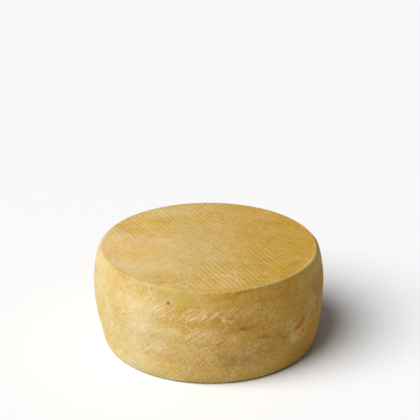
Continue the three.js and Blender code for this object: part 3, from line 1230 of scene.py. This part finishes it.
@dataclass
class RindFinish:
    """Natural rind of pressed cheese: printed by band and boards, then dried and rubbed with oil.

    The eye sees fat and protein: matte, with a faint sheen, and glowing where light enters a
    little way. Fibre crests dried pale, grooves stayed oily and dark, and mould came and went.
    """

    barrel: Barrel = field(default_factory=Barrel)
    roughness: float = 0.72
    ior: float = 1.45
    sheen: float = 0.18
    glow: float = 0.12
    glow_depth: float = 1.2
    glow_by_colour: tuple[float, float, float] = (1.0, 0.55, 0.2)

    # The paste, from oily grooves to dry crests, and what age, painted shade and oil stain it with.
    shades: tuple[str, ...] = ("#BE9349", "#CBAF69", "#D4C093", "#DDD6BF")
    shade_stops: tuple[float, ...] = (0.0, 0.35, 0.65, 1.0)
    aged_and_shaded: str = "#E6CE86"
    soaked: str = "#F9E6AD"
    middle: float = 0.5
    plait_shade: float = -0.07
    rib_reach: float = 1.4
    tone_reach: float = 0.45
    fibre_reach: float = 1.1
    pale_reach: float = 0.2
    bloom_and_highlight_lift: float = 0.16
    groove_limits: tuple[float, float] = (0.42, 0.0)
    soak: float = 0.8

    # Streaks along the fibres, width and length in millimetres. Real fibre hairs are some 0.2 mm
    # wide, too fine to show, so they are drawn wider.
    hairs: tuple[float, float] = (0.7, 5.0)
    hair_detail: float = 1.5
    hair_rough: float = 0.6
    flecks: tuple[float, float] = (1.1, 3.2)
    fleck_limits: tuple[float, float] = (0.5, 0.6)
    fleck_relief: float = -0.6
    fleck_pale: tuple[float, float] = (0.93, 0.6)
    fleck_shade: float = -0.2

    # Mottling of the paste: size in millimetres, detail, warp and reach. The crumb of the curd is
    # strongest where fibres frayed and where the rind is dark.
    crumb: tuple[float, float, float] = (1.3, 4.0, 0.0)
    crumb_reach: tuple[float, float] = (1.7, 0.6)
    crumb_dark: float = 1.15
    mottles: tuple[tuple[float, float, float, float], ...] = ((6.0, 3.0, 0.6, 0.55), (26.0, 2.0, 0.4, 0.5))

    # Bloom is an opaque powder; the other marks stain, each broken up by specks of a size in mm.
    # The same coat paints highlights on strand ends, on the top's seam and on its ribs.
    powder_and_highlight: str = "#DFC597"
    bloom_and_highlight_specks: tuple[float, float, float, float] = (2.2, 4.0, 0.3, 1.8)
    bloom_and_highlight_limits: tuple[float, ...] = (0.2, 1.3, 0.0, 0.5)
    tints: tuple[tuple[Mark, str, float], ...] = (
        (Mark.AMBER, "#F6DFAD", 5.0),
        (Mark.BUTTER, "#FCF9AA", 6.0),
        (Mark.UMBER, "#DAD4C5", 3.0),
        (Mark.BLUSH, "#FFE5DD", 3.0),
        (Mark.OLIVE, "#EFF9EC", 9.0),
        (Mark.HONEY, "#FFF1C4", 30.0),
    )
    tint_specks: tuple[float, float, float] = (4.0, 0.4, 1.6)
    tint_limits: tuple[float, float] = (0.15, 1.1)

    # The lip's crest, which handling has rubbed dull.
    lip: str = "#B9B27C"
    lip_strength: float = 0.95

    # Mould, and one stain that it left. Spots are drawn on places that a noise shifts: its size
    # and reach in millimetres. Each spot is at full strength, and ends, at a share of its radius.
    mould: str = "#7C7359"
    ragged_detail: float = 3.0
    ragged_mould: tuple[float, float] = (1.4, 3.6)
    mould_edge: tuple[float, float] = (0.3, 1.05)
    stain: str = "#F3C200"
    ragged_stain: tuple[float, float] = (2.6, 4.0)
    stain_edge: tuple[float, float] = (0.6, 1.35)
    stains: tuple[Speck, ...] = each(
        Speck, (95.6, 42.6, 2.6, 1.0), (95.4, 45.0, 3.5, 1.0), (94.6, 47.4, 3.4, 1.0),
        (91.4, 48.4, 3.4, 1.0), (88.8, 49.0, 2.6, 1.0), (86.4, 49.6, 2.1, 1.0), (98.4, 46.4, 2.2, 0.9),
        (96.6, 56.4, 2.3, 0.9), (94.0, 59.6, 2.0, 0.9), (96.3, 34, 2.0, 0.3), (94.8, 38, 1.8, 0.3),
    )
    specks: tuple[Speck, ...] = (
        *each(
            Speck, (-53, 12, 1.3, 0.9), (-36.4, 13.2, 1.9, 0.97), (21, 13.6, 1.0), (-75.5, 31, 0.9),
            (-54.6, 43, 1.1, 0.9), (-56.4, 56.5, 1.1), (-36, 59, 0.8), (18.2, 33.8, 0.9), (21.8, 35.7, 1.0),
            (24.4, 35.0, 0.9, 0.5), (26.6, 34.0, 0.9, 0.6), (28.2, 36.4, 0.9), (29.8, 35.6, 1.2, 0.8),
            (31.7, 36.6, 1.0), (33.5, 37.0, 0.9, 0.5), (19.2, 25.5, 1.0), (21.9, 25.3, 0.9, 0.6),
            (15.1, 12.3, 1.1, 0.8), (17.8, 12.0, 1.0, 0.8), (49.9, 46.4, 1.1, 0.8), (51.9, 46.5, 1.2, 0.9),
            (54.5, 45.6, 1.0, 0.7), (53.5, 54.0, 0.9, 0.6), (56.0, 55.6, 0.8, 0.5), (60.0, 54.2, 0.8, 0.5),
            (58.5, 58.0, 0.9, 0.6), (71.1, 38.2, 1.3), (77.6, 54, 1.0), (-39, 70, 1.0), (-22, 76, 0.8),
            (44, 47, 0.8), (119, 22, 1.4), (-80, 7.2, 1.2, 0.6), (-75, 1.8, 1.1, 0.6), (-66, 1.6, 0.9),
            (-53.5, 3, 1.6, 0.65), (-50, 1.1, 0.8), (-42.6, 4.1, 0.9), (-42, 0.5, 0.8), (-89.6, 14, 0.9),
            (-78.5, 13.7, 0.9), (-103, 35, 1.2, 0.5), (-94, 35, 1.1, 0.5), (-84, 35.3, 1.6, 0.6),
            (-24.2, 3.6, 0.8), (0.2, 0.6, 0.9), (10.8, 0.6, 1.1), (15.3, 0.6, 1.2), (17.5, 2.4, 1.1),
            (19.5, 3.6, 0.9), (26, 3.7, 1.0), (36.5, 1, 0.9), (40.4, 2.8, 1.0),
        ),
        *each(
            TopSpeck, (-75.8, -0.2, 0.8), (-80.2, 33.3, 1.2, 0.8), (-69.1, 19.9, 1.0, 0.8),
            (-93.5, -8.6, 1.0, 0.5), (-62.0, 16.1, 0.8, 0.6), (-37.4, 59.1, 1.0), (-24.3, 66.9, 1.2),
            (-22.8, 75.3, 1.2, 0.6), (-30.8, 61.3, 0.9, 0.6), (-27.0, 73.3, 1.0, 0.6), (-19.9, 83.2, 1.0),
            (21.7, 65.3, 1.0), (48.3, 61.3, 0.9, 0.5), (71.9, 44.9, 0.9, 0.5), (16.5, 73.3, 0.8, 0.5),
            (-42.9, 67.3, 0.9, 0.6),
        ),
    )

    # The smallest colonies, one in some cells of a pattern and more often in the plait's joints.
    tiny_cells: float = 5.0
    tiny_by_joint: float = 0.25
    tiny_drawn: tuple[float, float] = (0.78, 0.85)
    tiny_edge: tuple[float, ...] = (0.16, 0.03, 0.0, 0.55)

    # Relief too fine for the mesh. Real pits are about 0.3 mm wide and are drawn wider, to show.
    pits: float = 0.9
    pit_detail: float = 4.0
    pit_depth: float = 0.5
    pit_strength: float = 0.25
    hair_share: float = 0.8

    def __post_init__(self) -> None:
        """Starts the material with what every layer of it reads."""
        self.material = bpy.data.materials.new("sheep_cheese_rind")
        self.material.use_nodes = True
        self.tree = self.material.node_tree
        names = ["relief", "plait", "rib", "tone", "pale", "deep", "joint", "lip"]
        names += [mark.value for mark in Mark]
        self.told = {name: self.add("Attribute", out="Fac", attribute_name=name) for name in names}
        self.place = self.add("TexCoord", out="Object")
        self.fibres = self.streaks(*self.hairs)

    def add(self, kind: str, inputs: dict | tuple = (), out: int | str = 0, **settings: object) -> Socket:
        """Adds a shader node with its settings and links.

        Args:
            kind: the node's type name, past the words that all shader nodes start with.
            inputs: a value or a linked socket for each input, in order, or by name or number.
            out: the output to go on with.
            **settings: properties of the node.

        Returns:
            That output.
        """
        node = self.tree.nodes.new("ShaderNode" + kind)
        for name, value in settings.items():
            setattr(node, name, value)
        for key, value in inputs.items() if isinstance(inputs, dict) else enumerate(inputs):
            if isinstance(value, Socket):
                self.tree.links.new(value, node.inputs[key])
            else:
                node.inputs[key].default_value = value
        return node.outputs[out]

    def make(self) -> bpy.types.Material:
        """Lays every layer of colour over the paste, and roughens the surface.

        Returns:
            The rind's material.
        """
        fleck = self.frayed_flecks()
        stained = self.dotted(self.ragged(*self.ragged_stain), self.stains, *self.stain_edge)
        layers = [
            # Deepened colour: partly age, partly painted shade on the shaded right of the side and the top.
            (self.told["deep"], self.aged_and_shaded, Cover.STAIN),
            (self.oil(fleck), self.soaked, Cover.STAIN),
            *self.marks(),
            (stained, self.stain, Cover.STAIN),
            (self.mouldy(), self.mould, Cover.STAIN),
        ]
        colour = self.paste(fleck)
        for share, code, cover in layers:
            # By number: a Mix node has sockets of the same names for numbers, vectors and colours.
            inputs = {0: share, 6: colour, 7: linear(code)}
            colour = self.add("Mix", inputs, out=2, data_type="RGBA", blend_type=cover.value)
        shader = self.tree.nodes["Principled BSDF"]
        self.tree.links.new(colour, shader.inputs["Base Color"])
        self.tree.links.new(self.grain(), shader.inputs["Normal"])
        shader.inputs["Roughness"].default_value = self.roughness
        shader.inputs["IOR"].default_value = self.ior
        shader.inputs["Specular IOR Level"].default_value = self.sheen
        shader.inputs["Subsurface Weight"].default_value = self.glow
        shader.inputs["Subsurface Radius"].default_value = self.glow_by_colour
        shader.inputs["Subsurface Scale"].default_value = self.glow_depth * MM
        return self.material

    def streaks(self, width: float, length: float) -> Socket:
        """Makes streaks along the fibres.

        Args:
            width: their usual width, in millimetres.
            length: their usual length, in millimetres.

        Returns:
            The streaks, from 0 to 1.
        """
        scales = (per_mm(width), per_mm(length), 0.0)
        drawn = self.add("VectorMath", (self.add("UVMap", uv_map="lay"), scales), operation="MULTIPLY")
        inputs = {"Vector": drawn, "Scale": 1.0, "Detail": self.hair_detail, "Roughness": self.hair_rough}
        return self.add("TexNoise", inputs)

    def swing(self, value: object, reach: object, under: object) -> Socket:
        """Adds a value's swing about its middle of 0.5, times a reach, to what is under it."""
        centred = self.add("Math", (value, 0.5), operation="SUBTRACT")
        return self.add("Math", (centred, reach, under), operation="MULTIPLY_ADD")

    def mottle(self, size: float, detail: float, warp: float, reach: object, under: object) -> Socket:
        """Adds the swing of a noise, with features of a size in millimetres, to what is under it."""
        inputs = {"Vector": self.place, "Scale": per_mm(size), "Detail": detail, "Distortion": warp}
        return self.swing(self.add("TexNoise", inputs), reach, under)

    def frayed_flecks(self) -> Socket:
        """Scatters dark flecks over worn fibres, fewer where the rind is pale.

        Returns:
            Their strength.
        """
        fleck = self.add("MapRange", (self.streaks(*self.flecks), *self.fleck_limits), **SMOOTH)
        inputs = (self.told["relief"], self.fleck_relief, self.told["plait"])
        worn = self.add("Math", inputs, operation="MULTIPLY_ADD")
        fleck = self.add("Math", (fleck, worn), operation="MULTIPLY")
        dark = self.add("MapRange", (self.told["pale"], *self.fleck_pale), **SMOOTH)
        return self.add("Math", (fleck, dark), operation="MULTIPLY")

    def paste(self, fleck: Socket) -> Socket:
        """Shades the body from amber grooves to pale fibre crests, mottled as curd is.

        Args:
            fleck: strength of the flecks.

        Returns:
            The colour.
        """
        relief, plait, pale = (self.told[name] for name in ("relief", "plait", "pale"))
        light = self.add("Math", (plait, self.plait_shade, self.middle), operation="MULTIPLY_ADD")
        reaches = (self.rib_reach, self.tone_reach, self.fibre_reach)
        for value, reach in zip((self.told["rib"], self.told["tone"], self.fibres), reaches):
            light = self.swing(value, self.add("Math", (relief, reach), operation="MULTIPLY"), light)
        light = self.add("Math", (fleck, self.fleck_shade, light), operation="MULTIPLY_ADD")
        frayed = self.add("Math", (plait, relief), operation="SUBTRACT")
        reach = self.add("Math", (frayed, *self.crumb_reach), operation="MULTIPLY_ADD")
        dark = self.add("Math", (self.crumb_dark, pale), operation="SUBTRACT")
        reach = self.add("Math", (reach, dark), operation="MULTIPLY")
        light = self.mottle(*self.crumb, reach, light)
        # Paler where the pale attribute is high: partly the rind's tone, partly painted light on the lit
        # left of the side and the top.
        light = self.swing(pale, self.pale_reach, light)
        for mottle in self.mottles:
            light = self.mottle(*mottle, light)
        # Paler under bloom, and under the painted highlights that share its attribute.
        light = self.add("Math", (self.told["bloom"], self.bloom_and_highlight_lift, light), operation="MULTIPLY_ADD")
        shaded = self.add("ValToRGB", (light,))
        stops = shaded.node.color_ramp.elements
        for stop in self.shade_stops[1:-1]:
            stops.new(stop)
        for stop, position, code in zip(stops, self.shade_stops, self.shades):
            stop.position = position
            stop.color = linear(code)
        return shaded

    def oil(self, fleck: Socket) -> Socket:
        """Finds where oil has soaked in: the grooves between the fibres, and the flecks.

        Args:
            fleck: strength of the flecks.

        Returns:
            The share that is soaked.
        """
        groove = self.add("MapRange", (self.told["rib"], *self.groove_limits), **SMOOTH)
        groove = self.add("Math", (groove, self.told["relief"]), operation="MULTIPLY")
        both = self.add("Math", (groove, fleck), operation="ADD")
        return self.add("Math", (both, self.soak), operation="MULTIPLY")

    def marks(self) -> list[tuple[Socket, str, Cover]]:
        """Breaks up the marks of ripening by a fine noise each.

        Returns:
            Their layers: share, colour code and cover.
        """
        # The coat of bloom and of painted highlights, broken up by specks.
        bloom = self.mottle(*self.bloom_and_highlight_specks, self.told["bloom"])
        layers = [(self.add("MapRange", (bloom, *self.bloom_and_highlight_limits), **SMOOTH), self.powder_and_highlight, Cover.COAT)]
        for mark, code, size in self.tints:
            strength = self.mottle(size, *self.tint_specks, self.told[mark.value])
            layers.append((self.add("MapRange", (strength, *self.tint_limits), **SMOOTH), code, Cover.STAIN))
        lip = self.add("Math", (self.told["lip"], self.lip_strength), operation="MULTIPLY")
        return [*layers, (lip, self.lip, Cover.COAT)]

    def mouldy(self) -> Socket:
        """Dots the rind with mould: the named colonies, and a scatter of tiny ones in the joints.

        Returns:
            How dark the mould is.
        """
        place = self.ragged(*self.ragged_mould)
        named = self.dotted(place, self.specks, *self.mould_edge)
        far = self.add("TexVoronoi", {"Vector": place, "Scale": per_mm(self.tiny_cells)}, out="Distance")
        draw = self.add("SeparateColor", (far.node.outputs["Color"],))
        draw = self.add("Math", (self.told["joint"], self.tiny_by_joint, draw), operation="MULTIPLY_ADD")
        drawn = self.add("MapRange", (draw, *self.tiny_drawn), **SMOOTH)
        tiny = self.add("MapRange", (far, *self.tiny_edge), **SMOOTH)
        tiny = self.add("Math", (tiny, drawn), operation="MULTIPLY")
        return self.add("Math", (named, tiny), operation="MAXIMUM")

    def ragged(self, size: float, reach: float) -> Socket:
        """Shifts places by a noise, so that what is drawn there gets a ragged outline.

        Args:
            size: size of the noise, in millimetres.
            reach: how far it shifts, in millimetres.

        Returns:
            The shifted places.
        """
        inputs = {"Vector": self.place, "Scale": per_mm(size), "Detail": self.ragged_detail}
        noise = self.add("TexNoise", inputs, out="Color")
        centred = self.add("VectorMath", (noise, (-0.5, -0.5, -0.5)), operation="ADD")
        return self.add("VectorMath", (centred, (reach * MM,) * 3, self.place), operation="MULTIPLY_ADD")

    def dotted(self, place: Socket, dots: tuple[Speck, ...], full: float, faded: float) -> Socket:
        """Draws round spots.

        Args:
            place: places on the rind.
            dots: the spots.
            full: share of a spot's radius that is at full strength.
            faded: share of its radius where it ends.

        Returns:
            The strength at each place.
        """
        dark = 0.0
        for dot in dots:
            far = self.add("VectorMath", (place, dot.spot(self.barrel)), out="Value", operation="DISTANCE")
            size = dot.size * MM
            here = self.add("MapRange", (far, faded * size, full * size, 0.0, dot.strength), **SMOOTH)
            dark = self.add("Math", (dark, here), operation="MAXIMUM")
        return dark

    def grain(self) -> Socket:
        """Roughens the surface: fibre hairs in the print, and a fine pitted grain.

        Returns:
            The normal.
        """
        inputs = {"Vector": self.place, "Scale": per_mm(self.pits), "Detail": self.pit_detail}
        pits = self.add("TexNoise", inputs)
        hairs = self.add("Math", (self.told["relief"], self.hair_share), operation="MULTIPLY")
        height = self.add("Math", (self.fibres, hairs, pits), operation="MULTIPLY_ADD")
        inputs = {"Strength": self.pit_strength, "Distance": self.pit_depth * MM, "Height": height}
        return self.add("Bump", inputs)


@dataclass(frozen=True)
class Studio:
    """A pale table, a soft light and the camera, placed as they were for the photograph."""

    camera_distance: float = 1.3872
    camera_drop: float = math.radians(23.36)
    aim: tuple[float, float, float] = (0.00085, 0.0, 0.1258)
    lens: float = 131.19
    sensor_width: float = 36.0
    table_size: float = 12.0
    table_colour: str = "#EDEDED"
    table_roughness: float = 0.9
    sun_place: tuple[float, float, float] = (-1.0, -0.58, 1.42)
    sun_spread: float = math.radians(50)
    sun_strength: float = 4.05
    room_colour: str = "#FFFFFF"
    room_strength: float = 0.13

    def set_camera(self) -> None:
        """Adds the camera at the photograph's viewing angle."""
        deselect_all()
        back = (0.0, -math.cos(self.camera_drop), math.sin(self.camera_drop))
        place = [aim + part * self.camera_distance for aim, part in zip(self.aim, back)]
        bpy.ops.object.camera_add(location=place, rotation=(math.pi / 2 - self.camera_drop, 0.0, 0.0))
        camera = bpy.context.object
        camera.data.lens = self.lens
        camera.data.sensor_width = self.sensor_width
        bpy.context.scene.camera = camera

    def lay_table(self) -> bpy.types.Object:
        """Adds the floor that the wheel stands on: matte paper, pale and even to the eye.

        Returns:
            The table.
        """
        deselect_all()
        bpy.ops.mesh.primitive_plane_add(size=self.table_size)
        table = bpy.context.object
        table.name = "table"
        paper = bpy.data.materials.new("pale_paper")
        paper.use_nodes = True
        shader = paper.node_tree.nodes["Principled BSDF"]
        shader.inputs["Base Color"].default_value = linear(self.table_colour)
        shader.inputs["Roughness"].default_value = self.table_roughness
        table.data.materials.append(paper)
        return table

    def light(self) -> None:
        """Adds the soft key light and the even light of the room."""
        deselect_all()
        bpy.ops.object.light_add(type="SUN", location=self.sun_place)
        key = bpy.context.object
        key.data.angle = self.sun_spread
        key.data.energy = self.sun_strength
        x, y, z = (-part for part in self.sun_place)
        fall = math.atan2(z, math.hypot(x, y))
        key.rotation_euler = (math.pi / 2 + fall, 0.0, math.atan2(y, x) - math.pi / 2)
        room = bpy.data.worlds.new("room")
        room.use_nodes = True
        room.node_tree.nodes["Background"].inputs["Color"].default_value = linear(self.room_colour)
        room.node_tree.nodes["Background"].inputs["Strength"].default_value = self.room_strength
        bpy.context.scene.world = room
        bpy.context.scene.view_settings.view_transform = "Standard"


def main() -> None:
    """Builds the studio and the wheel, and reports each piece."""
    studio = Studio()
    studio.set_camera()
    table = studio.lay_table()
    studio.light()
    piece = CheeseRind().build()
    piece.data.materials.clear()
    piece.data.materials.append(RindFinish().make())
    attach(piece, "root")
    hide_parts(NODE)
    for made in (table, piece):
        log.info("%s: %d faces", made.name, len(made.data.polygons))


if __name__ == "__main__":
    logging.basicConfig(level=logging.INFO, format="%(name)s: %(message)s")
    main()
